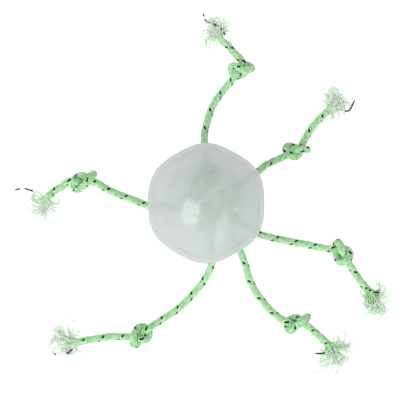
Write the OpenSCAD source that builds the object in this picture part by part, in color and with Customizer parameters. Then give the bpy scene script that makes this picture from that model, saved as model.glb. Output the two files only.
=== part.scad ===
// Octopus ball toy: a hollow translucent rubber ball with six knotted braided cords.
// The ball stands on its flat, at the origin. Each cord leaves the lower half of the ball
// through its own hole, slopes down to the surface, is tied once and ends in a frayed tuft.
// Arms are numbered 1 to 6 clockwise from +Y, seen from above.

/* [Ball] */
// Radius of the ball
ball_r = 40; // [38:1:44]
// Thickness of the rubber wall
wall = 4; // [3:0.5:5]
// How far the six soft corners stand out, as a share of the radius
corner_share = 0.02; // [0:0.005:0.03]
// Radius of the flat that the ball stands on
flat_r = 12; // [8:1:14]
// How far the cord holes sit below the ball's middle, as an angle
hole_drop = 33; // [30:1:36]

/* [Cord] */
// Diameter of the braided cord
cord_d = 5; // [4:0.5:6]
// Radial play of a cord in its hole
hole_play = 0.1; // [0.05:0.05:0.3]
// Diameter of the loose end of the tracer yarn
thread_d = 1; // [0.8:0.1:1.2]
// Radius of the knot that stops each cord inside the ball
inner_knot_r = 6; // [5:0.5:6.5]

/* [Mesh] */
// Facets around the ball
ball_facets = 48; // [24:12:72]
// Facet rows from the ball's middle to its top
ball_rows = 10; // [6:1:12]
// Sides of a cord
cord_sides = 10; // [8:1:12]

/* [Hidden] */
ARMS = [1:6];
PER_ARM = ["inner_knot", "inner_cord", "cord", "knot", "tail", "fray", "thread"];

cord_r = cord_d / 2;
middle_z = sqrt(ball_r * ball_r - flat_r * flat_r);
flat_lat = acos(flat_r / ball_r);
lump_facets = 20;
round_facets = 64;
// The hinge of an arm sits this far outside the ball, where the cord bends as it lifts
pivot_out = 4;
// Gap between the fixed and the moving stretch of a cord
pivot_gap = 0.3;

// Compass angle of each hole, from +X towards +Y
HOLE_AZ = [90, 30, -30, -54, -84, 184];

// Middle of each stopper knot inside the ball
INNER_KNOT = [[-1, 13, 60], [14, 3, 56], [13, -9, 42], [4, -4, 30], [-3, -12, 58], [-13, 0, 48]];

// Route of each cord from the ball to its knot
RUN = [
    [[-1, 41, 12], [-1, 48, 9], [1, 56, 6], [4, 65, 4], [10, 75, 3], [17, 83, 4], [20, 88, 5]],
    [[36, 22, 12], [43, 28, 9], [50, 32, 6], [55, 34, 5]],
    [[36, -21, 12], [43, -23, 9], [52, -25, 6], [62, -27, 4], [73, -29, 3], [84, -30, 4], [88, -30, 5]],
    [[24, -34, 12], [27, -43, 9], [30, -53, 6], [35, -62, 4], [42, -71, 3], [51, -78, 4], [55, -80, 5]],
    [[4, -41, 12], [1, -48, 9], [-4, -56, 6], [-11, -64, 4], [-20, -73, 3], [-31, -80, 4], [-38, -84, 5]],
    [[-39, -2, 12], [-46, 1, 9], [-54, 4, 6], [-62, 7, 4], [-70, 11, 3], [-76, 14, 4], [-79, 15, 5]]
];

// Lumps of each knot, as x, y and radius
KNOT = [
    [[19, 92, 5.5], [28, 91, 5.5]],
    [[56, 35, 6], [64, 37, 6], [69, 32, 3]],
    [[91, -31, 6], [93, -39, 6.5]],
    [[58, -82, 6.5], [67, -78, 5.5]],
    [[-46, -85, 6], [-43, -92, 6], [-39, -86, 5.5]],
    [[-87, 15, 6.5], [-80, 12, 5.5], [-78, 19, 5.5]]
];

// Route of each cord from its knot to its frayed end
TAIL = [
    [[22, 95, 5], [19, 102, 3], [15, 107, 3], [11, 110, 3]],
    [[65, 40, 5], [70, 49, 3], [76, 56, 3], [82, 62, 3]],
    [[96, -42, 5], [101, -47, 3], [105, -53, 3], [109, -58, 3]],
    [[67, -81, 5], [73, -87, 3], [78, -91, 3], [82, -95, 3]],
    [[-48, -89, 5], [-62, -90, 3], [-74, -92, 3], [-86, -94, 3]],
    [[-90, 14, 5], [-96, 12, 3], [-102, 9, 3], [-107, 5, 3]]
];

// Outline of each frayed tuft, as x, y and radius
FRAY = [
    [[11, 110, 2.5], [4, 116, 4], [11, 122, 4], [3, 122, 3]],
    [[82, 62, 2.5], [84, 71, 4], [90, 66, 4], [89, 60, 3]],
    [[109, -58, 2.5], [120, -60, 4], [121, -71, 4], [113, -66, 3]],
    [[82, -95, 2.5], [101, -97, 3.5], [93, -110, 4], [80, -103, 3]],
    [[-86, -94, 2.5], [-92, -86, 4], [-99, -94, 3.5], [-95, -101, 3.5]],
    [[-107, 5, 2.5], [-116, 5, 4], [-114, -5, 4], [-104, -5, 4]]
];

// Route of each loose tracer yarn out of its tuft
THREAD = [
    [[8, 120, 4], [0, 124, 3], [-2, 129, 2]],
    [[90, 63, 4], [97, 63, 3], [101, 70, 2]],
    [[120, -61, 4], [121, -57, 3], [115, -54, 2]],
    [[82, -101, 4], [78, -102, 3], [74, -102, 2]],
    [[-94, -102, 4], [-101, -103, 3], [-105, -101, 2]],
    [[-117, 8, 4], [-124, 10, 3], [-130, 9, 2]]
];

function ahead(az, drop) = [cos(az) * cos(drop), sin(az) * cos(drop), -sin(drop)];
function on_hole_axis(i, r) = [0, 0, middle_z] + r * ahead(HOLE_AZ[i - 1], hole_drop);
function pivot(i) = on_hole_axis(i, ball_r + pivot_out);
function unit(v) = v / norm(v);

// A point of a half shell of radius r, above its rim: the corners fade towards the top
function shell_point(r, lon, lat) =
    let (out = r * (1 + corner_share * cos(6 * (lon - 30)) * pow(cos(lat), 2)))
    [out * cos(lat) * cos(lon), out * cos(lat) * sin(lon), r * sin(lat)];

function shell_rows(r, top_lat) = [
    for (row = [0:ball_rows - 1])
    for (k = [0:ball_facets - 1])
    shell_point(r, 360 * k / ball_facets, top_lat * row / (ball_rows - (top_lat < 90 ? 1 : 0)))
];

// Quads between two rings of points, given the index of each ring's first point
function band(a, b) = [
    for (k = [0:ball_facets - 1])
    let (next = (k + 1) % ball_facets)
    [a + k, b + k, b + next, a + next]
];

function cap(ring, tip) = [
    for (k = [0:ball_facets - 1])
    [ring + k, tip, ring + (k + 1) % ball_facets]
];

function flipped(faces) = [for (f = faces) [for (k = [len(f) - 1:-1:0]) f[k]]];

// Half of the ball, from its rim at z = 0 up to a flat at outer_lat or, at 90, to its top
module half_shell(outer_lat) {
    rows = ball_rows * ball_facets;
    last = (ball_rows - 1) * ball_facets;
    outer_tip = 2 * rows;
    points = concat(
        shell_rows(ball_r, outer_lat),
        shell_rows(ball_r - wall, 90),
        [[0, 0, ball_r * sin(outer_lat)], [0, 0, ball_r - wall]]
    );
    bands = [for (row = [0:ball_rows - 2]) each band(row * ball_facets, (row + 1) * ball_facets)];
    outer = concat(bands, cap(last, outer_tip));
    inner = [for (f = flipped(concat(bands, cap(last, rows + 1)))) [for (k = f) k + rows]];
    rim = band(rows, 0);
    polyhedron(points, concat(outer, inner, rim), convexity = 4);
}

module shell_top() {
    color([0.80, 0.86, 0.83, 0.75])
        translate([0, 0, middle_z])
        half_shell(90);
}

module shell_bottom() {
    color([0.74, 0.81, 0.77, 0.75])
        difference() {
            translate([0, 0, middle_z])
                mirror([0, 0, 1])
                half_shell(flat_lat);
            for (i = ARMS)
                translate([0, 0, middle_z])
                rotate([0, 90 + hole_drop, HOLE_AZ[i - 1]])
                translate([0, 0, ball_r - 2 * wall])
                cylinder(r = cord_r + hole_play, h = 4 * wall, $fn = round_facets);
        }
}

// Ring of a tube: its side lies level, so that no stretch of the route may be upright
function ring(middle, along, r, sides) =
    let (side = unit(cross(along, [0, 0, 1])), up = cross(side, along))
    [for (k = [0:sides - 1]) middle + r * (cos(360 * k / sides) * side + sin(360 * k / sides) * up)];

function heading(route, k) = unit(route[min(k + 1, len(route) - 1)] - route[max(k - 1, 0)]);

// A plain tube swept along a route, with a radius for each of its points
module tube(route, radii, sides) {
    n = len(route);
    points = [for (k = [0:n - 1]) each ring(route[k], heading(route, k), radii[k], sides)];
    walls = [
        for (k = [0:n - 2])
        for (s = [0:sides - 1])
        let (a = k * sides, next = (s + 1) % sides)
        [a + s, a + next, a + sides + next, a + sides + s]
    ];
    start = [for (s = [sides - 1:-1:0]) s];
    end = [for (s = [0:sides - 1]) (n - 1) * sides + s];
    polyhedron(points, concat(walls, [start, end]), convexity = 4);
}

module inner_knot(i) {
    color("darkseagreen")
        translate(INNER_KNOT[i - 1])
        sphere(r = inner_knot_r, $fn = round_facets);
}

// Fixed stretch of a cord, from its stopper knot out through the wall
module inner_cord(i) {
    mouth = on_hole_axis(i, ball_r - wall - 2);
    knot = INNER_KNOT[i - 1];
    start = knot + (inner_knot_r - 2) * unit(mouth - knot);
    end = on_hole_axis(i, ball_r + pivot_out - cord_r - pivot_gap);
    route = [start, (start + mouth) / 2, mouth, end];
    color("palegreen")
        tube(route, [for (p = route) cord_r], cord_sides);
}

// Moving stretch of a cord: its round nose turns about the pivot without touching the fixed one
module cord(i) {
    nose = ahead(HOLE_AZ[i - 1], hole_drop);
    back = [0.9, 0.6, 0];
    start = [for (b = back) pivot(i) - b * cord_r * nose];
    start_r = [for (b = back) cord_r * sqrt(1 - b * b)];
    route = concat(start, RUN[i - 1]);
    color("palegreen")
        tube(route, concat(start_r, [for (p = RUN[i - 1]) cord_r]), cord_sides);
}

// Rounded lump over a list of balls that all rest on the surface
module lump(balls) {
    hull()
        for (b = balls)
        translate([b[0], b[1], b[2]])
        sphere(r = b[2], $fn = lump_facets);
}

module knot(i) {
    color("mediumseagreen")
        lump(KNOT[i - 1]);
}

module tail(i) {
    color("palegreen")
        tube(TAIL[i - 1], [for (p = TAIL[i - 1]) cord_r], cord_sides);
}

module fray(i) {
    color("honeydew")
        lump(FRAY[i - 1]);
}

module thread(i) {
    color("dimgray")
        tube(THREAD[i - 1], [for (p = THREAD[i - 1]) thread_d / 2], 8);
}

shell_top();
shell_bottom();
for (i = ARMS) {
    inner_knot(i);
    inner_cord(i);
    cord(i);
    knot(i);
    tail(i);
    fray(i);
    thread(i);
}
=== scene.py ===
"""Octopus ball toy: a translucent rubber ball with six knotted, frayed braided cords."""
import math
from functools import cache

import bpy
import numpy as np
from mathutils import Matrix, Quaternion, Vector


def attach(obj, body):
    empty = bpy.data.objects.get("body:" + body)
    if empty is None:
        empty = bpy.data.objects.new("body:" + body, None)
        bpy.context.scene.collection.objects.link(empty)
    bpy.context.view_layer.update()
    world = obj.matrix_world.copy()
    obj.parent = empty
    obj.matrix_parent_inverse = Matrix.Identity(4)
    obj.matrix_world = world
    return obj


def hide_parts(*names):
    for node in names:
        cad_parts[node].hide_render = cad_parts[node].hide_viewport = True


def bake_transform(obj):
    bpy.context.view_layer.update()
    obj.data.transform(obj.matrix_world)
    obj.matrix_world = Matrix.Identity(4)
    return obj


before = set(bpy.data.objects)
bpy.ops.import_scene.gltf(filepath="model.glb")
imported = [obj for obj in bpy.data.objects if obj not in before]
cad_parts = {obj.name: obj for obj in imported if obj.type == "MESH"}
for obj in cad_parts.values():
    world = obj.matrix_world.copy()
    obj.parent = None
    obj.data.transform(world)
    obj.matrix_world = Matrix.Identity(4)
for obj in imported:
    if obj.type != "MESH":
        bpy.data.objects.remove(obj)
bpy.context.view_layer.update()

# ---------------------------------------------------------------- driving dimensions, in metres
BALL_R = 0.040
WALL = 0.004
FLAT_R = 0.012
CORNER_SHARE = 0.02
HOLE_DROP = 33
CORD_D = 0.005
HOLE_R = CORD_D / 2 + 0.0001
PIVOT_OUT = 0.004
MIDDLE_Z = math.sqrt(BALL_R**2 - FLAT_R**2)
MIDDLE = np.array([0, 0, MIDDLE_Z])
HOLE_AZ = [90, 30, -30, -54, -84, 184]

# Route of each cord from the ball to its knot, as in part.scad
RUN = [
    [(-0.001, 0.041, 0.012), (-0.001, 0.048, 0.009), (0.001, 0.056, 0.006), (0.004, 0.065, 0.004),
     (0.010, 0.075, 0.003), (0.017, 0.083, 0.004), (0.020, 0.088, 0.005)],
    [(0.036, 0.022, 0.012), (0.043, 0.028, 0.009), (0.050, 0.032, 0.006), (0.055, 0.034, 0.005)],
    [(0.036, -0.021, 0.012), (0.043, -0.023, 0.009), (0.052, -0.025, 0.006), (0.062, -0.027, 0.004),
     (0.073, -0.029, 0.003), (0.084, -0.030, 0.004), (0.088, -0.030, 0.005)],
    [(0.024, -0.034, 0.012), (0.027, -0.043, 0.009), (0.030, -0.053, 0.006), (0.035, -0.062, 0.004),
     (0.042, -0.071, 0.003), (0.051, -0.078, 0.004), (0.055, -0.080, 0.005)],
    [(0.004, -0.041, 0.012), (0.001, -0.048, 0.009), (-0.004, -0.056, 0.006), (-0.011, -0.064, 0.004),
     (-0.020, -0.073, 0.003), (-0.031, -0.080, 0.004), (-0.038, -0.084, 0.005)],
    [(-0.039, -0.002, 0.012), (-0.046, 0.001, 0.009), (-0.054, 0.004, 0.006), (-0.062, 0.007, 0.004),
     (-0.070, 0.011, 0.003), (-0.076, 0.014, 0.004), (-0.079, 0.015, 0.005)],
]

# Route of each cord from its knot to its frayed end, as in part.scad
TAIL = [
    [(0.022, 0.095, 0.005), (0.019, 0.102, 0.003), (0.015, 0.107, 0.003), (0.011, 0.110, 0.003)],
    [(0.065, 0.040, 0.005), (0.070, 0.049, 0.003), (0.076, 0.056, 0.003), (0.082, 0.062, 0.003)],
    [(0.096, -0.042, 0.005), (0.101, -0.047, 0.003), (0.105, -0.053, 0.003), (0.109, -0.058, 0.003)],
    [(0.067, -0.081, 0.005), (0.073, -0.087, 0.003), (0.078, -0.091, 0.003), (0.082, -0.095, 0.003)],
    [(-0.048, -0.089, 0.005), (-0.062, -0.090, 0.003), (-0.074, -0.092, 0.003), (-0.086, -0.094, 0.003)],
    [(-0.090, 0.014, 0.005), (-0.096, 0.012, 0.003), (-0.102, 0.009, 0.003), (-0.107, 0.005, 0.003)],
]

# Route of each loose tracer yarn out of its tuft, as in part.scad
THREAD = [
    [(0.008, 0.120, 0.004), (0.000, 0.124, 0.003), (-0.002, 0.129, 0.002)],
    [(0.090, 0.063, 0.004), (0.097, 0.063, 0.003), (0.101, 0.070, 0.002)],
    [(0.120, -0.061, 0.004), (0.121, -0.057, 0.003), (0.115, -0.054, 0.002)],
    [(0.082, -0.101, 0.004), (0.078, -0.102, 0.003), (0.074, -0.102, 0.002)],
    [(-0.094, -0.102, 0.004), (-0.101, -0.103, 0.003), (-0.105, -0.101, 0.002)],
    [(-0.117, 0.008, 0.004), (-0.124, 0.010, 0.003), (-0.130, 0.009, 0.002)],
]

# Each outer knot: its middle on the surface, the way its cord runs through it, how far it is
# rolled about that way, its hand (1 or -1) and the extra cord that is tied into it
KNOT = [
    {"middle": (0.0245, 0.0910), "heading": 60, "roll": 255, "hand": -1, "slack": 0.048},
    {"middle": (0.0615, 0.0370), "heading": 30, "roll": 300, "hand": 1, "slack": 0.054},
    {"middle": (0.0910, -0.0345), "heading": -10, "roll": 200, "hand": 1, "slack": 0.051},
    {"middle": (0.0620, -0.0815), "heading": 0, "roll": 105, "hand": 1, "slack": 0.054},
    {"middle": (-0.0445, -0.0885), "heading": -140, "roll": 150, "hand": 1, "slack": 0.053},
    {"middle": (-0.0830, 0.0155), "heading": 175, "roll": 60, "hand": 1, "slack": 0.053},
]

# Middle of each stopper knot inside the ball, as in part.scad
INNER_KNOT = [
    (-0.001, 0.013, 0.060), (0.014, 0.003, 0.056), (0.013, -0.009, 0.042),
    (0.004, -0.004, 0.030), (-0.003, -0.012, 0.058), (-0.013, 0.000, 0.048),
]

# How each stopper knot lies: the way its cord runs, its roll and the extra cord tied into it
INNER_LIE = [
    {"heading": 20, "roll": 0, "slack": 0.056}, {"heading": -50, "roll": 30, "slack": 0.050},
    {"heading": -60, "roll": 80, "slack": 0.046}, {"heading": -45, "roll": 120, "slack": 0.046},
    {"heading": -35, "roll": 20, "slack": 0.050}, {"heading": 190, "roll": 60, "slack": 0.046},
]

# Middle and half widths of each frayed tuft
TUFT = [
    ((0.0080, 0.1170), (0.0095, 0.0085)),
    ((0.0865, 0.0660), (0.0075, 0.0095)),
    ((0.1150, -0.0660), (0.0075, 0.0085)),
    ((0.0880, -0.1020), (0.0120, 0.0110)),
    ((-0.0950, -0.0930), (0.0100, 0.0105)),
    ((-0.1080, -0.0020), (0.0100, 0.0090)),
]

# A point on each tracer yarn's way from its cord's end to its loose route
TRACER_LEAVES = [
    (0.0125, 0.1150, 0.005), (0.0870, 0.0625, 0.001), (0.1120, -0.0595, 0.007),
    (0.0830, -0.0975, 0.001), (-0.0900, -0.0980, 0.006), (-0.1120, 0.0055, 0.006),
]

# Stretches of each loose tracer yarn that show its black strand, from where it leaves the cord
TRACER_DARK = [
    [(0.006, 0.008), (0.010, 0.011), (0.014, 0.024), (0.026, 0.029)],
    [(0.016, 0.028)],
    [(0.000, 0.004), (0.005, 0.007), (0.008, 0.013)],
    [(0.011, 0.020)],
    [(0.009, 0.015), (0.022, 0.027)],
    [(0.014, 0.020), (0.023, 0.028)],
]
TRACER_END_R = 0.00055
TRACER_END_SIDES = 10

# ---------------------------------------------------------------- camera
PHOTO_WIDTH = 0.272
CAMERA_HEIGHT = 4.0
CAMERA_AIM = (-0.0041, 0.0022)
camera_data = bpy.data.cameras.new("camera")
camera_data.sensor_width = 36
camera_data.lens = camera_data.sensor_width * CAMERA_HEIGHT / PHOTO_WIDTH
camera = bpy.data.objects.new("camera", camera_data)
camera.location = (*CAMERA_AIM, CAMERA_HEIGHT)
bpy.context.scene.collection.objects.link(camera)
bpy.context.scene.camera = camera


# ---------------------------------------------------------------- curves
def length_of(points):
    return np.linalg.norm(np.diff(points, axis=0), axis=1).sum()


def along(points):
    """Distance of each point along its line."""
    return np.concatenate([[0], np.cumsum(np.linalg.norm(np.diff(points, axis=0), axis=1))])


def evenly(points, count):
    """The same line in count evenly spaced points."""
    s = along(points)
    at = np.linspace(0, s[-1], count)
    return np.stack([np.interp(at, s, points[:, k]) for k in range(3)], axis=1)


def smooth(points, step):
    """A Catmull-Rom line through the points, in even steps."""
    points = np.asarray(points, float)
    p = np.vstack([2 * points[0] - points[1], points, 2 * points[-1] - points[-2]])
    t = np.linspace(0, 1, 24, endpoint=False)[None, :, None]
    a, b, c, d = (p[k:len(p) - 3 + k][:, None] for k in range(4))
    line = 0.5 * (2 * b + (c - a) * t + (2 * a - 5 * b + 4 * c - d) * t**2
                  + (3 * b - a - 3 * c + d) * t**3)
    line = np.vstack([line.reshape(-1, 3), points[-1:]])
    return evenly(line, max(2, round(length_of(line) / step) + 1))


def turned(points, degrees, axis):
    """The points turned about an axis through the origin: 0 is X, 2 is Z."""
    a, b = (1, 2) if axis == 0 else (0, 1)
    c, s = math.cos(math.radians(degrees)), math.sin(math.radians(degrees))
    out = points.copy()
    out[:, a] = c * points[:, a] - s * points[:, b]
    out[:, b] = s * points[:, a] + c * points[:, b]
    return out


# ---------------------------------------------------------------- knots
CONTACT = 0.0048             # the braid squashes a little where it lies on itself
NODE_STEP = 0.0013
LOOP_R = 0.007
HALF_SPAN = 0.030            # from a knot's middle to each end that it is tied between
DRAWN_IN = 0.004             # how much an arm shortens as it is drawn tight
KNOT_STEPS, ARM_STEPS = 700, 420
PULL, STIFFNESS = 0.1, 0.05  # how much each step shortens the cord, and how much it smooths it
PUSH_SHARE = 1.3             # how much of an overlap is undone at once
APART = 1.6                  # points nearer than this along the cord, in contacts, never touch
SAG = 1e-5                   # how far a free cord sinks at each step
# An open overhand knot in units of its loop's radius, for a cord that runs along +X
OPEN_KNOT = np.array([
    (-1.6, 0.0, 0.0), (-1.0, 0.0, -0.25), (0.2, -0.05, 0.3), (1.1, 0.0, 0.0), (1.8, 0.8, -0.3),
    (0.8, 1.8, 0.0), (-0.7, 1.5, 0.2), (-1.15, 0.5, 0.45), (-0.9, -0.5, 0.1), (-0.2, -0.7, -0.35),
    (0.25, 0.1, -0.4), (0.8, 0.8, 0.1), (1.9, 1.0, 0.45), (2.6, 0.7, 0.1),
])


def tighten(path, length, held, steps, floor=None):
    """Draws a cord tighter between its held ends, until it has the length. It stays smooth and
    above the floor, and never passes through itself."""
    head, last = held
    p, n = path.copy(), len(path)
    i, j = np.triu_indices(n, 1)
    for _ in range(steps):
        spacing = length_of(p) / (n - 1)
        for _ in range(3):
            q = p.copy()
            if length_of(p) > length:
                q[1:-1] += PULL * (p[:-2] + p[2:] - 2 * p[1:-1])
            q[2:-2] -= STIFFNESS * (p[:-4] - 4 * p[1:-3] + 6 * p[2:-2] - 4 * p[3:-1] + p[4:])
            p[head:-last] = q[head:-last]
        far = (j - i) * spacing >= APART * CONTACT
        for _ in range(2):
            a, b = i[far], j[far]
            gap = p[b] - p[a]
            distance = np.linalg.norm(gap, axis=1)
            hit = distance < CONTACT
            if not hit.any():
                break
            a, b, gap, distance = a[hit], b[hit], gap[hit], distance[hit]
            shift = (0.5 * (CONTACT - distance) / distance)[:, None] * gap
            push, count = np.zeros_like(p), np.zeros(n)
            np.add.at(push, a, -shift)
            np.add.at(push, b, shift)
            np.add.at(count, a, 1)
            np.add.at(count, b, 1)
            push /= np.maximum(count, 1)[:, None]
            p[head:-last] += PUSH_SHARE * push[head:-last]
        if floor is not None:
            p[head:-last, 2] = np.maximum(p[head:-last, 2] - SAG, floor)
        p[head - 1:n - last + 1] = evenly(p[head - 1:n - last + 1], n - last - head + 2)
    return p


@cache
def tied(slack):
    """The core of an overhand knot around the origin, in a cord that runs along +X. The core is
    the stretch that lies close to another part of the cord."""
    knot = LOOP_R * (OPEN_KNOT - (0.3, 0.4, 0))
    lead = [(-HALF_SPAN, 0, 0), (-0.022, 0, 0), (-0.016, 0, 0)]
    tail = [(knot[-1][0] + LOOP_R, 0.002, 0), (HALF_SPAN, 0, 0)]
    loose = smooth(np.vstack([lead, knot, tail]), NODE_STEP)
    p = tighten(loose, 2 * HALF_SPAN + slack, (3, 3), KNOT_STEPS)
    distance = np.linalg.norm(p[:, None] - p[None], axis=2)
    i, j = np.indices(distance.shape)
    spacing = length_of(p) / (len(p) - 1)
    near = (distance < 1.35 * CORD_D) & (np.abs(i - j) * spacing > 1.8 * CORD_D)
    core = np.flatnonzero(near.any(axis=1))
    p = p[core[0]:core[-1] + 1]
    return p - (p.max(axis=0) + p.min(axis=0)) / 2


def placed_knot(knot):
    """An outer knot where it lies, resting on the surface."""
    p = tied(knot["slack"]) * (1, knot["hand"], 1)
    p = turned(turned(p, knot["roll"], 0), knot["heading"], 2)
    p[:, :2] += knot["middle"]
    p[:, 2] += CORD_D / 2 - p[:, 2].min()
    return p


def hole_way(arm):
    """Unit vector out of an arm's hole."""
    a, d = math.radians(HOLE_AZ[arm]), math.radians(HOLE_DROP)
    return np.array([math.cos(a) * math.cos(d), math.sin(a) * math.cos(d), -math.sin(d)])


def on_hole_axis(arm, r):
    return MIDDLE + r * hole_way(arm)


def straight(a, b):
    return evenly(np.vstack([a, b]), max(2, int(np.linalg.norm(b - a) / NODE_STEP) + 1))


def arm_line(arm):
    """Centreline of a cord from inside its hole, through its knot, to its frayed end."""
    start = [on_hole_axis(arm, BALL_R + out) for out in (-0.006, -0.003, 0, PIVOT_OUT)]
    head = smooth(np.vstack([start, RUN[arm][:-2]]), NODE_STEP)
    knot = placed_knot(KNOT[arm])
    end = smooth(TAIL[arm][1:], NODE_STEP)
    line = np.vstack([
        head[:-1], straight(head[-1], knot[0])[:-1], knot, straight(knot[-1], end[0])[1:], end[1:],
    ])
    held = len(head) - 3, len(end) - 2
    return tighten(line, length_of(line) - DRAWN_IN, held, ARM_STEPS, CORD_D / 2)


# ---------------------------------------------------------------- meshes
def add_mesh(name, points, faces, material, attributes=None, smooth_faces=True):
    """A new piece. Its attributes hold one number for each point, for its material to read."""
    mesh = bpy.data.meshes.new(name)
    mesh.from_pydata(points.tolist(), [], faces)
    for key, values in (attributes or {}).items():
        field = mesh.attributes.new(key, "FLOAT", "POINT")
        field.data.foreach_set("value", values.astype(np.float32))
    mesh.materials.append(material)
    if smooth_faces:
        mesh.polygons.foreach_set("use_smooth", [True] * len(mesh.polygons))
    mesh.validate()
    obj = bpy.data.objects.new(name, mesh)
    bpy.context.scene.collection.objects.link(obj)
    return obj


def frames_along(line):
    """Tangents, and two normals that turn as little as they can, for each point of a line."""
    tangent = np.gradient(line, axis=0)
    tangent /= np.linalg.norm(tangent, axis=1, keepdims=True)
    normal = np.zeros_like(line)
    n = np.array([0.0, 0.0, 1.0])
    for k, t in enumerate(tangent):
        n = n - (n @ t) * t
        n /= np.linalg.norm(n)
        normal[k] = n
    return tangent, normal, np.cross(tangent, normal)


class Tubes:
    """Closed tubes gathered into one mesh. Each point keeps how far along its tube it is in
    millimetres, where it is across the tube from -1 to 1, and its tube's tint."""

    def __init__(self):
        self.points, self.faces, self.count = [], [], 0
        self.fields = {"run": [], "across": [], "tint": []}

    def add(self, centre, side, out, half_width, half_height, sides, tint=0.5):
        """A tube around centre: half_width along side, half_height along out and tint, each one
        number or one for each point."""
        n = len(centre)
        turn = np.arange(sides) * 2 * math.pi / sides
        width = np.broadcast_to(half_width, n)[:, None, None]
        height = np.broadcast_to(half_height, n)[:, None, None]
        ring = (centre[:, None] + width * np.cos(turn)[None, :, None] * side[:, None]
                + height * np.sin(turn)[None, :, None] * out[:, None])
        first = self.count
        a = first + np.arange(n - 1)[:, None] * sides + np.arange(sides)[None]
        b = first + np.arange(n - 1)[:, None] * sides + (np.arange(sides)[None] + 1) % sides
        self.faces += np.stack([a, b, b + sides, a + sides], axis=2).reshape(-1, 4).tolist()
        self.faces += [[first + k for k in reversed(range(sides))]]
        self.faces += [[first + (n - 1) * sides + k for k in range(sides)]]
        self.points.append(ring.reshape(-1, 3))
        self.fields["run"].append(np.repeat(along(centre) * 1000, sides))
        self.fields["across"].append(np.tile(np.cos(turn), n))
        self.fields["tint"].append(np.repeat(np.broadcast_to(tint, n), sides))
        self.count += n * sides

    def piece(self, name, material):
        fields = {key: np.concatenate(value) for key, value in self.fields.items()}
        return add_mesh(name, np.concatenate(self.points), self.faces, material, fields)


# ---------------------------------------------------------------- braid
PITCH = 0.0136               # one turn of a yarn round the cord
PER_TURN = 36
YARNS_EACH_WAY = 8
OUTER_R = 0.0026
YARN_HALF_WIDTH, YARN_HALF_HEIGHT = 0.00058, 0.00034
WEAVE_DEPTH = 0.00026        # how far a yarn rises and sinks as it passes over and under
WEAVE_POWER = 0.6            # under 1, so a yarn stays up and changes over quickly
UNDER_WIDTH = 0.94           # how wide a yarn is where it passes under, as a share
TRACER_WIDER = 1.2
YARN_SIDES, CORE_SIDES = 6, 10
YARN_TINTS = 0.35, 1.0
# The core's tint of 0 picks the deepest greens: painted shade in the gaps between the yarns, where the
# core shows
CORE_PAINTED_SHADE_TINT = 0.0


def braid(line, roll, tracer, rng, detail=1.0):
    """16 yarns over a core, two over and two under. Gives the green yarns and the tracer, which
    is yarn number tracer of those that wind to the left. The cord is rolled about itself by roll
    degrees at its start and at its end."""
    step = PITCH / (PER_TURN * detail)
    line = smooth(line, step)
    s = along(line)
    _, normal, binormal = frames_along(line)
    green, black = Tubes(), Tubes()
    middle_r = OUTER_R - YARN_HALF_HEIGHT - WEAVE_DEPTH
    rolled = np.radians(np.interp(s / s[-1], (0.45, 0.75), roll))
    for way in (1, -1):
        for k in range(YARNS_EACH_WAY):
            angle = way * 2 * math.pi * s / PITCH + 2 * math.pi * k / YARNS_EACH_WAY
            crossing = 2 * YARNS_EACH_WAY * angle / (2 * math.pi)
            wave = way * np.cos(2 * math.pi * (crossing - 0.5) / 4)
            height = WEAVE_DEPTH * np.sign(wave) * np.abs(wave) ** WEAVE_POWER
            turn = angle + rolled
            out = np.cos(turn)[:, None] * normal + np.sin(turn)[:, None] * binormal
            centre = line + (middle_r + height)[:, None] * out
            ahead = np.gradient(centre, axis=0)
            ahead /= np.linalg.norm(ahead, axis=1, keepdims=True)
            side = np.cross(ahead, out)
            side /= np.linalg.norm(side, axis=1, keepdims=True)
            out = np.cross(side, ahead)
            is_tracer = way == -1 and k == tracer
            full = np.where(height > 0, 1.0, UNDER_WIDTH)
            target, wide = (black, TRACER_WIDER) if is_tracer else (green, 1.0)
            width = YARN_HALF_WIDTH * full * wide
            tint = rng.uniform(*YARN_TINTS)
            target.add(centre, side, out, width, YARN_HALF_HEIGHT, YARN_SIDES, tint)
    core = line[::3]
    _, normal, binormal = frames_along(core)
    # The core, in the deepest greens: painted shade in the gaps between the yarns
    green.add(core, normal, binormal, middle_r, middle_r, CORE_SIDES, CORE_PAINTED_SHADE_TINT)
    return line, green, black


# ---------------------------------------------------------------- materials
def new_material(name, color, roughness):
    """A Principled material, its nodes, its links and its shader."""
    material = bpy.data.materials.new(name)
    material.use_nodes = True
    nodes, links = material.node_tree.nodes, material.node_tree.links
    shader = nodes["Principled BSDF"]
    shader.inputs["Base Color"].default_value = (*color, 1)
    shader.inputs["Roughness"].default_value = roughness
    return material, nodes, links, shader


def node(nodes, kind, **settings):
    """A new node. Each setting fills the socket of its name, or else is the node's own."""
    made = nodes.new(kind)
    for key, value in settings.items():
        if key in made.inputs:
            made.inputs[key].default_value = value
        else:
            setattr(made, key, value)
    return made


def math_node(nodes, links, operation, *values):
    """The output of a Math node on the values, which are numbers or other nodes' outputs."""
    made = node(nodes, "ShaderNodeMath", operation=operation)
    for socket, value in zip(made.inputs, values):
        if isinstance(value, float):
            socket.default_value = value
        else:
            links.new(value, socket)
    return made.outputs[0]


def spread(nodes, links, value, low, high, to_low=0.0, to_high=1.0):
    """A value that goes from low to high, turned into one that goes from to_low to to_high."""
    made = nodes.new("ShaderNodeMapRange")
    limits = {"From Min": low, "From Max": high, "To Min": to_low, "To Max": to_high}
    for name, limit in limits.items():
        made.inputs[name].default_value = limit
    links.new(value, made.inputs["Value"])
    return made.outputs["Result"]


def blended(nodes, links, share, first, second):
    """Two shaders mixed: share, a number or a node's output, is how much of the second shows."""
    made = nodes.new("ShaderNodeMixShader")
    if isinstance(share, float):
        made.inputs[0].default_value = share
    else:
        links.new(share, made.inputs[0])
    links.new(first.outputs[0], made.inputs[1])
    links.new(second.outputs[0], made.inputs[2])
    return made


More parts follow.
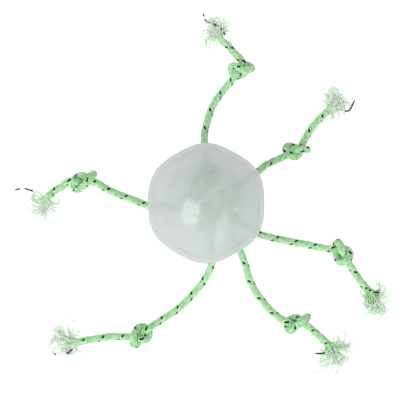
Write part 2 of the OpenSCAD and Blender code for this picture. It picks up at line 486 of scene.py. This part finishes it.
def color_ramp(nodes, links, factor, stops):
    """The colour that factor picks from the stops, each a place from 0 to 1 and its colour."""
    ramp = nodes.new("ShaderNodeValToRGB")
    while len(ramp.color_ramp.elements) < len(stops):
        ramp.color_ramp.elements.new(0.5)
    for element, (at, color) in zip(ramp.color_ramp.elements, stops):
        element.position, element.color = at, (*color, 1)
    links.new(factor, ramp.inputs["Fac"])
    return ramp.outputs["Color"]


ALONG_FIBRES, ACROSS_FIBRES = 0.35, 5.0     # how fast the fibre noise changes each way


def fibre_bump(nodes, links, shader, strength):
    """Fine filaments that run along each yarn, from the run and across fields of its mesh."""
    across = node(nodes, "ShaderNodeAttribute", attribute_name="across").outputs["Fac"]
    run = node(nodes, "ShaderNodeAttribute", attribute_name="run").outputs["Fac"]
    scaled = nodes.new("ShaderNodeCombineXYZ")
    links.new(math_node(nodes, links, "MULTIPLY", run, ALONG_FIBRES), scaled.inputs["X"])
    links.new(math_node(nodes, links, "MULTIPLY", across, ACROSS_FIBRES), scaled.inputs["Y"])
    noise = node(nodes, "ShaderNodeTexNoise", Scale=1.6, Detail=3.0, Roughness=0.6)
    links.new(scaled.outputs[0], noise.inputs["Vector"])
    bump = node(nodes, "ShaderNodeBump", Strength=strength, Distance=0.0002)
    links.new(noise.outputs["Fac"], bump.inputs["Height"])
    links.new(bump.outputs["Normal"], shader.inputs["Normal"])
    return noise.outputs["Fac"]


# The cord's greens, from its deepest yarns and fibres to its palest; the deepest go to the core, where
# they are painted shade in the gaps between the yarns
CORD_SHADES = [
    (0.30, (0.07, 0.42, 0.05)), (0.45, (0.24, 0.61, 0.21)), (0.62, (0.39, 0.72, 0.36)),
    (0.80, (0.60, 0.87, 0.58)),
]
CORD_TINT_SHARE, CORD_FIBRE_SHARE = 0.45, 0.6


def cord_material(name, painted_lift):
    """Green yarns, each a little different, with a soft shine. Every green is multiplied by the lift
    given, so a lift over 1 paints light onto a copy of the same cord.
    """
    material, nodes, links, shader = new_material(name, (0.36, 0.60, 0.33), 0.45)
    shader.inputs["Specular IOR Level"].default_value = 0.9
    shader.inputs["Sheen Weight"].default_value = 0.5
    shader.inputs["Sheen Roughness"].default_value = 0.4
    shader.inputs["Sheen Tint"].default_value = (0.9, 1.0, 0.9, 1)
    fibres = fibre_bump(nodes, links, shader, 0.5)
    tint = node(nodes, "ShaderNodeAttribute", attribute_name="tint").outputs["Fac"]
    from_fibres = math_node(nodes, links, "MULTIPLY", fibres, CORD_FIBRE_SHARE)
    mixed = math_node(nodes, links, "MULTIPLY_ADD", tint, CORD_TINT_SHARE, from_fibres)
    color = color_ramp(nodes, links, mixed, [
        (at, [min(1, painted_lift * part) for part in shade]) for at, shade in CORD_SHADES
    ])
    links.new(color, shader.inputs["Base Color"])
    return material


def tracer_material():
    material, nodes, links, shader = new_material("black_tracer_yarn", (0.012, 0.015, 0.013), 0.45)
    shader.inputs["Specular IOR Level"].default_value = 0.2
    fibres = fibre_bump(nodes, links, shader, 0.5)
    color = color_ramp(nodes, links, fibres, [
        (0.3, (0.002, 0.004, 0.003)), (0.75, (0.014, 0.018, 0.015)),
    ])
    links.new(color, shader.inputs["Base Color"])
    return material


def tracer_end_material():
    """The loose tracer shows its black strand where its tint is 1 and its clear ones where 0."""
    material, nodes, links, shader = new_material("loose_tracer_yarn", (0.2, 0.2, 0.2), 0.4)
    shader.inputs["Specular IOR Level"].default_value = 0.2
    fibre_bump(nodes, links, shader, 0.4)
    tint = node(nodes, "ShaderNodeAttribute", attribute_name="tint")
    color = color_ramp(nodes, links, tint.outputs["Fac"], [
        (0.3, (0.72, 0.82, 0.72)), (0.7, (0.008, 0.010, 0.009)),
    ])
    links.new(color, shader.inputs["Base Color"])
    return material


TUFT_PALES = 5.0, 19.0       # the millimetres of strand over which it turns pale
TUFT_TINT_SHARE = 0.2
TUFT_CLEARNESS = 0.1, 0.45   # how much light goes through a strand, at its root and its tip


def tuft_material():
    """Green where the strands leave the cord, and paler to their tips. Light goes through them."""
    material, nodes, links, shader = new_material("frayed_strands", (0.56, 0.70, 0.55), 0.4)
    shader.inputs["Sheen Weight"].default_value = 0.3
    fibre_bump(nodes, links, shader, 0.3)
    run = node(nodes, "ShaderNodeAttribute", attribute_name="run").outputs["Fac"]
    tint = node(nodes, "ShaderNodeAttribute", attribute_name="tint").outputs["Fac"]
    share = spread(nodes, links, run, *TUFT_PALES)
    varied = math_node(nodes, links, "MULTIPLY_ADD", tint, TUFT_TINT_SHARE, share)
    color = color_ramp(nodes, links, varied, [
        (0.0, (0.43, 0.78, 0.39)), (0.3, (0.58, 0.87, 0.54)), (0.7, (0.84, 0.98, 0.82)),
        (1.0, (0.91, 0.99, 0.91)),
    ])
    links.new(color, shader.inputs["Base Color"])
    through = nodes.new("ShaderNodeBsdfTranslucent")
    links.new(color, through.inputs["Color"])
    thinness = spread(nodes, links, share, 0.0, 1.0, *TUFT_CLEARNESS)
    both = blended(nodes, links, thinness, shader, through)
    links.new(both.outputs[0], nodes["Material Output"].inputs["Surface"])
    return material


MILKINESS = 0.85             # the share of the rubber's haze that goes through it
INSIDE_CLEARNESS, OUTSIDE_CLEARNESS = 0.9, 0.17
GLOSS, GRAZING_GLOSS, GRAZING_POWER = 0.07, 0.05, 4.0


def rubber_material():
    """Milky rubber under a gloss: part of the light scatters back, part goes through as haze and
    part passes straight through, so what is inside shows dimly. The inside face is clearer."""
    material, nodes, links, shader = new_material("milky_rubber", (0.88, 0.90, 0.91), 0.5)
    shader.inputs["Specular IOR Level"].default_value = 0.0
    place = nodes.new("ShaderNodeTexCoord")
    cloud = node(nodes, "ShaderNodeTexNoise", Scale=28.0, Detail=4.0, Roughness=0.55)
    links.new(place.outputs["Object"], cloud.inputs["Vector"])
    color = color_ramp(nodes, links, cloud.outputs["Fac"], [
        (0.3, (0.74, 0.73, 0.79)), (0.7, (0.79, 0.78, 0.83)),
    ])
    links.new(color, shader.inputs["Base Color"])
    grain = node(nodes, "ShaderNodeTexNoise", Scale=900.0, Detail=2.0)
    links.new(place.outputs["Object"], grain.inputs["Vector"])
    bump = node(nodes, "ShaderNodeBump", Strength=0.05, Distance=0.0002)
    links.new(grain.outputs["Fac"], bump.inputs["Height"])
    through = node(nodes, "ShaderNodeBsdfTranslucent", Color=(0.855, 0.845, 0.885, 1))
    clear = node(nodes, "ShaderNodeBsdfRefraction", Color=(0.975, 0.98, 0.98, 1),
                 Roughness=0.05, IOR=1.015)
    gloss = node(nodes, "ShaderNodeBsdfGlossy", Roughness=0.15)
    for bumped in (shader, gloss):
        links.new(bump.outputs["Normal"], bumped.inputs["Normal"])
    facing = node(nodes, "ShaderNodeLayerWeight", Blend=0.5)
    grazing = math_node(nodes, links, "POWER", facing.outputs["Facing"], GRAZING_POWER)
    sheen = math_node(nodes, links, "MULTIPLY_ADD", grazing, GRAZING_GLOSS, GLOSS)
    milky = blended(nodes, links, MILKINESS, shader, through)
    from_middle = node(nodes, "ShaderNodeVectorMath", operation="DISTANCE")
    from_middle.inputs[1].default_value = (0, 0, MIDDLE_Z)
    links.new(place.outputs["Object"], from_middle.inputs[0])
    clearness = spread(nodes, links, from_middle.outputs["Value"], BALL_R - 0.75 * WALL,
                       BALL_R - 0.5 * WALL, INSIDE_CLEARNESS, OUTSIDE_CLEARNESS)
    hazy = blended(nodes, links, clearness, milky, clear)
    glossy = blended(nodes, links, sheen, hazy, gloss)
    links.new(glossy.outputs[0], nodes["Material Output"].inputs["Surface"])
    return material


CORD = cord_material("braided_green_cord", 1.0)
# The same cord inside the ball, its greens lifted by 1.35: painted light, so that it shows brighter
# through the rubber
INNER_CORD_PAINTED_LIGHTER = cord_material("cord_inside_the_ball_painted_lighter", 1.35)
TRACER = tracer_material()
TRACER_END = tracer_end_material()
FRAY = tuft_material()
RUBBER = rubber_material()


# ---------------------------------------------------------------- arms
# How far each cord is rolled about itself before and after its knot, in degrees
ROLL = [(24, 174), (-39, -33), (-12, -24), (-36, -120), (-3, -165), (-15, -180)]
TRACER_YARN = [6, 0, 0, 6, 1, 3]
TUFT_YARNS = 32
STRANDS_IN_YARN = 4
ROOT_DEPTH, ROOT_SPREAD = 0.004, 0.0019     # where the yarns start, inside the cord's end
ROOT_WIDTH, ROOT_LENGTH = 0.0006, 0.011     # how thick a strand starts, and until where
STRAND_WIDTHS = 0.00025, 0.00042
STRAND_SIDES = 6
TUFT_PALENESS = [0.8, 1.0, -1.2, -0.8, 0.4, 0.2]   # how much paler (above 0) or darker (below 0) each arm's whole tuft is made
TIP_LENGTH = 0.002
GOAL_HEIGHTS = 0.001, 0.004
SPARE_LENGTHS = 0.003, 0.014                # what is left of a yarn past its goal
CURLS = 150, 380                            # all turning is in radians a metre
CRIMP_BENDS, CRIMP_RATES = (40, 180), (400, 900)
STEER, SHARPEST_TURN, STEEPEST = 200, 500, 0.7
CLIMB, RIPPLE, RIPPLE_RATE = 0.6, 0.15, 500  # how steeply a strand makes for its goal's height
STRAIGHT_LENGTH, EASE_LENGTH = 0.002, 0.003  # a strand's first stretch, and how it starts to turn
REACHED = 0.002                             # this near to its goal, a strand starts to curl
LOWEST = 0.0006                             # a strand's centre stays this far off the surface
STRAND_STEP = 0.0005


def strand(root, way, goal, length, curl, crimp):
    """A crinkled strand that leaves its root the given way, makes for its goal and then curls.
    Its crimp is how much it bends, how often, and where it starts."""
    step = STRAND_STEP
    p, heading, gone = root.copy(), math.atan2(way[1], way[0]), 0.0
    bend, rate, first = crimp
    line, reached = [], False
    while gone < length:
        line.append(p.copy())
        to_goal = goal - p
        reached = reached or math.hypot(to_goal[0], to_goal[1]) < REACHED
        free = min(1, max(0, (gone - STRAIGHT_LENGTH) / EASE_LENGTH))
        if reached:
            turn = curl
        else:
            lean = (math.atan2(to_goal[1], to_goal[0]) - heading + math.pi) % (2 * math.pi) - math.pi
            turn = np.clip(lean * STEER, -SHARPEST_TURN, SHARPEST_TURN)
        heading += step * free * (turn + bend * math.sin(rate * gone + first))
        climb = np.clip((goal[2] - p[2]) * STEER, -CLIMB, CLIMB)
        rise = free * (climb + RIPPLE * math.sin(RIPPLE_RATE * gone + first))
        rise = np.clip(rise, -STEEPEST, STEEPEST)
        p = p + step * np.array([math.cos(heading), math.sin(heading), rise])
        p[2] = max(p[2], LOWEST)
        gone += step
    return smooth(np.array(line)[::2], 0.0006)


def tuft(arm, end, way, rng):
    """The frayed end: each yarn fans out of the cord's end and parts into crinkled strands."""
    tubes = Tubes()
    (cx, cy), (rx, ry) = TUFT[arm]
    side = np.cross(way, (0, 0, 1))
    side /= np.linalg.norm(side)
    for _ in range(TUFT_YARNS):
        a, r = rng.uniform(0, 2 * math.pi), ROOT_SPREAD * math.sqrt(rng.random())
        root = end - ROOT_DEPTH * way + r * math.cos(a) * side + np.array([0, 0, r * math.sin(a)])
        to, out = rng.uniform(0, 2 * math.pi), rng.random() ** 0.4
        x, y = cx + out * rx * math.cos(to), cy + out * ry * math.sin(to)
        goal = np.array([x, y, rng.uniform(*GOAL_HEIGHTS)])
        length = np.linalg.norm(goal - root) * 1.05 + rng.uniform(*SPARE_LENGTHS)
        curl = rng.choice((-1, 1)) * rng.uniform(*CURLS)
        crimp = rng.uniform(*CRIMP_BENDS), rng.uniform(*CRIMP_RATES), rng.uniform(0, 2 * math.pi)
        pale = rng.random()
        for _ in range(STRANDS_IN_YARN):
            line = strand(root + rng.normal(0, 0.0003, 3), way, goal + rng.normal(0, 0.0007, 3),
                          length * rng.uniform(0.8, 1.1), curl * rng.uniform(0.7, 1.2), crimp)
            _, normal, binormal = frames_along(line)
            gone = along(line)
            width = rng.uniform(*STRAND_WIDTHS)
            width = width + (ROOT_WIDTH - width) * np.clip(1 - gone / ROOT_LENGTH, 0, 1)
            width = width * np.clip((gone[-1] - gone) / TIP_LENGTH + 0.4, 0, 1)
            flat = rng.uniform(0, math.pi)
            u = math.cos(flat) * normal + math.sin(flat) * binormal
            v = math.cos(flat) * binormal - math.sin(flat) * normal
            tint = TUFT_PALENESS[arm] + 0.7 * pale + 0.3 * rng.random()
            tubes.add(line, u, v, width, 0.6 * width, STRAND_SIDES, tint)
    return tubes.piece(f"tuft_{arm + 1}", FRAY)


def tracer_end(arm, end, way):
    """The tracer yarn where it has come out of its cord's end."""
    line = smooth(np.vstack([end - 0.002 * way, TRACER_LEAVES[arm], THREAD[arm]]), 0.0004)
    _, normal, binormal = frames_along(line)
    gone = along(line)
    dark = sum(((gone >= start) & (gone <= stop)).astype(float) for start, stop in TRACER_DARK[arm])
    thick = TRACER_END_R * (np.clip((gone[-1] - gone) / 0.001, 0.7, 1) * (0.6 + 0.4 * dark))
    tubes = Tubes()
    tubes.add(line, binormal, normal, thick, thick, TRACER_END_SIDES, dark)
    return tubes.piece(f"tracer_end_{arm + 1}", TRACER_END)


def across_hole(piece):
    """Bakes the piece's placement into its mesh points."""
    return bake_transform(piece)


def make_arm(arm):
    """One whole cord outside the ball: its braid, its tracer, its tuft and its loose tracer."""
    rng = np.random.default_rng(100 + arm)
    name = f"arm_{arm + 1}"
    line, green, black = braid(arm_line(arm), ROLL[arm], TRACER_YARN[arm], rng)
    rope = green.piece(f"rope_{arm + 1}", CORD)
    tracer = black.piece(f"tracer_{arm + 1}", TRACER)
    way = line[-1] - line[-8]
    way /= np.linalg.norm(way)
    fray = tuft(arm, line[-1], way, rng)
    loose = tracer_end(arm, line[-1], way)
    across_hole(rope)
    across_hole(tracer)
    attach(fray, name)
    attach(loose, name)
    n = arm + 1
    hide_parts(f"cord_{n}", f"knot_{n}", f"tail_{n}")
    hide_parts(f"fray_{n}")
    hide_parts(f"thread_{n}")


for arm in range(len(RUN)):
    make_arm(arm)


# ---------------------------------------------------------------- cords inside the ball
INNER_DETAIL = 0.7           # how finely the braid is made inside the ball, as a share


def inner_rope(arm):
    """The fixed stretch of a cord: a stopper knot, then a run down into its hole."""
    rng = np.random.default_rng(200 + arm)
    hidden = on_hole_axis(arm, BALL_R - 0.002)
    mouth = on_hole_axis(arm, BALL_R - WALL - 0.002)
    middle = np.array(INNER_KNOT[arm])
    lie = INNER_LIE[arm]
    knot = turned(turned(tied(lie["slack"]), lie["roll"], 0), lie["heading"], 2) + middle
    rise = mouth + 0.006 * (hole_way(arm) * (-1, -1, -1) + (0, 0, 0.6))
    line = np.vstack([knot[::4], 0.5 * (knot[-1] + rise), rise, mouth, hidden])
    _, green, black = braid(line, (0, 0), 0, rng, INNER_DETAIL)
    n = arm + 1
    # The inner rope takes the painted-lighter copy of the cord
    rope = green.piece(f"inner_rope_{n}", INNER_CORD_PAINTED_LIGHTER)
    tracer = black.piece(f"inner_tracer_{n}", TRACER)
    for piece, slot in ((rope, "cord_green"), (tracer, "tracer_black")):
        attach(piece, "ball")
    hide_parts(f"inner_cord_{n}", f"inner_knot_{n}")


for arm in range(len(RUN)):
    inner_rope(arm)


# ---------------------------------------------------------------- ball
AROUND = 288
ROWS = 84
SEAM_DEPTH, SEAM_WIDTH = 0.0003, 0.0004
SWELL = 0.00012              # how far the rubber is from a true round
LIP_R = 0.0010
HOLE_SIDES = 48
FADE_LENGTH = 0.004          # over which these shapes fade out beside the flat


def ball_rings(radius, lowest, outside):
    """Rings of points on the ball's outside or inside, from the lowest latitude up. The outside
    has its seam's groove, its swell and a rounded lip at each hole."""
    lat = np.radians(np.concatenate([
        np.linspace(lowest, 0, ROWS, endpoint=False), np.linspace(0, 90, ROWS, endpoint=False),
    ]))[:, None]
    lon = np.arange(AROUND)[None, :] * 2 * math.pi / AROUND
    corner = CORNER_SHARE * np.cos(6 * (lon - math.radians(30))) * np.cos(lat) ** 2
    out = radius * (1 + corner) * np.cos(lat)
    points = np.stack([out * np.cos(lon), out * np.sin(lon), radius * np.sin(lat) + 0 * lon], axis=2)
    if outside:
        unit = points / np.linalg.norm(points, axis=2, keepdims=True)
        x, y, z = (points[..., k] / radius for k in range(3))
        swell = SWELL * (np.sin(5 * x + 1) * np.cos(4 * y) + np.sin(6 * z + 2 * x))
        inset = SEAM_DEPTH * np.exp(-((lat * radius / SEAM_WIDTH) ** 2)) - swell
        for arm in range(len(RUN)):
            away = np.arccos(np.clip(unit @ hole_way(arm), -1, 1)) * radius
            edge = np.clip(1 - (away - HOLE_R) / LIP_R, 0, 1)
            inset = inset + LIP_R * (1 - np.sqrt(np.clip(1 - edge**2, 0, 1)))
        fade = np.clip((lat - math.radians(lowest)) * radius / FADE_LENGTH, 0, 1)
        points -= (inset * fade)[..., None] * unit
    return points


def shell():
    """The ball's wall in one closed mesh: its outside, flat at the bottom, and its inside."""
    flat_lat = -math.degrees(math.acos(FLAT_R / BALL_R))
    inner_r = BALL_R - WALL
    sides = [
        (ball_rings(BALL_R, flat_lat, True), -MIDDLE_Z, BALL_R, 1),
        (ball_rings(inner_r, -88, False), -inner_r, inner_r, -1),
    ]
    points, faces, first = [], [], 0
    k = np.arange(AROUND)
    after = (k + 1) % AROUND
    for rings, low, high, way in sides:
        count = len(rings) * AROUND
        points += [rings.reshape(-1, 3), [(0, 0, low), (0, 0, high)]]
        for row in range(len(rings) - 1):
            a, b = first + row * AROUND, first + (row + 1) * AROUND
            faces += np.stack([a + k, a + after, b + after, b + k], axis=1)[:, ::way].tolist()
        bottom, top = np.full(AROUND, first + count), np.full(AROUND, first + count + 1)
        last = first + count - AROUND
        faces += np.stack([bottom, first + after, first + k], axis=1)[:, ::way].tolist()
        faces += np.stack([last + k, last + after, top], axis=1)[:, ::way].tolist()
        first += count + 2
    return add_mesh("ball_shell", np.vstack(points) + MIDDLE, faces, RUBBER)


def drill_holes(piece):
    """Cuts the six cord holes through the wall."""
    cutter = Tubes()
    for arm in range(len(RUN)):
        line = np.array([on_hole_axis(arm, BALL_R - WALL - 0.006), on_hole_axis(arm, BALL_R + 0.006)])
        _, normal, binormal = frames_along(line)
        cutter.add(line, normal, binormal, HOLE_R, HOLE_R, HOLE_SIDES)
    tool = cutter.piece("hole_cutter", RUBBER)
    cut = piece.modifiers.new("holes", "BOOLEAN")
    cut.object, cut.operation, cut.solver = tool, "DIFFERENCE", "EXACT"
    bpy.context.view_layer.objects.active = piece
    bpy.ops.object.modifier_apply(modifier=cut.name)
    bpy.data.objects.remove(tool)


ball = shell()
drill_holes(ball)
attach(ball, "ball")
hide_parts("shell_top", "shell_bottom")


# ---------------------------------------------------------------- light
LIGHT_DISTANCE = 3.0


def softbox(name, tilt, azimuth, spin, size, power):
    """An oval light that looks at the ball, tilt degrees off the vertical and spun about
    its own beam."""
    data = bpy.data.lights.new(name, "AREA")
    data.shape, data.energy = "ELLIPSE", power
    data.size, data.size_y = size
    light = bpy.data.objects.new(name, data)
    t, a = math.radians(tilt), math.radians(azimuth)
    way = Vector((math.sin(t) * math.cos(a), math.sin(t) * math.sin(a), math.cos(t)))
    light.location = Vector((0, 0, MIDDLE_Z)) + LIGHT_DISTANCE * way
    facing = way.to_track_quat("Z", "Y")
    light.rotation_euler = (facing @ Quaternion((0, 0, 1), math.radians(spin))).to_euler()
    light.visible_camera = False
    bpy.context.scene.collection.objects.link(light)


SKY_WAY = -0.2, -0.98, 0.0
SKY_DIM, SKY_BRIGHT = 0.45, 1.03


def studio():
    """A soft studio that is bright toward SKY_WAY and dimmer on the other side."""
    world = bpy.data.worlds.new("studio")
    world.use_nodes = True
    nodes, links = world.node_tree.nodes, world.node_tree.links
    background = nodes["Background"]
    place = nodes.new("ShaderNodeTexCoord")
    slope = node(nodes, "ShaderNodeVectorMath", operation="DOT_PRODUCT")
    slope.inputs[1].default_value = SKY_WAY
    links.new(place.outputs["Generated"], slope.inputs[0])
    sky = spread(nodes, links, slope.outputs["Value"], -1.0, 1.0, SKY_DIM, SKY_BRIGHT)
    links.new(sky, background.inputs["Strength"])
    background.inputs["Color"].default_value = (1, 1, 1, 1)
    bpy.context.scene.world = world


FLOOR_HALF, FLOOR_Z = 3.0, -0.0001
FLOOR_GLOW = 0.85


def floor():
    """A pale floor that glows a little, as a light table does, so shadows stay faint."""
    corners = [(-1, -1), (1, -1), (1, 1), (-1, 1)]
    points = np.array([(x * FLOOR_HALF, y * FLOOR_HALF, FLOOR_Z) for x, y in corners])
    material, _, _, shader = new_material("pale_floor", (0.35, 0.35, 0.35), 0.9)
    shader.inputs["Specular IOR Level"].default_value = 0.0
    shader.inputs["Emission Color"].default_value = (1, 1, 1, 1)
    shader.inputs["Emission Strength"].default_value = FLOOR_GLOW
    add_mesh("floor", points, [[0, 1, 2, 3]], material, smooth_faces=False)


softbox("key", tilt=37, azimuth=209, spin=61, size=(1.9, 2.8), power=36)
softbox("strip", tilt=62, azimuth=-55, spin=-35, size=(0.9, 4.8), power=15)
softbox("side", tilt=60, azimuth=262, spin=0, size=(4.2, 3.2), power=11)
studio()
floor()
bpy.context.scene.view_settings.view_transform = "Standard"
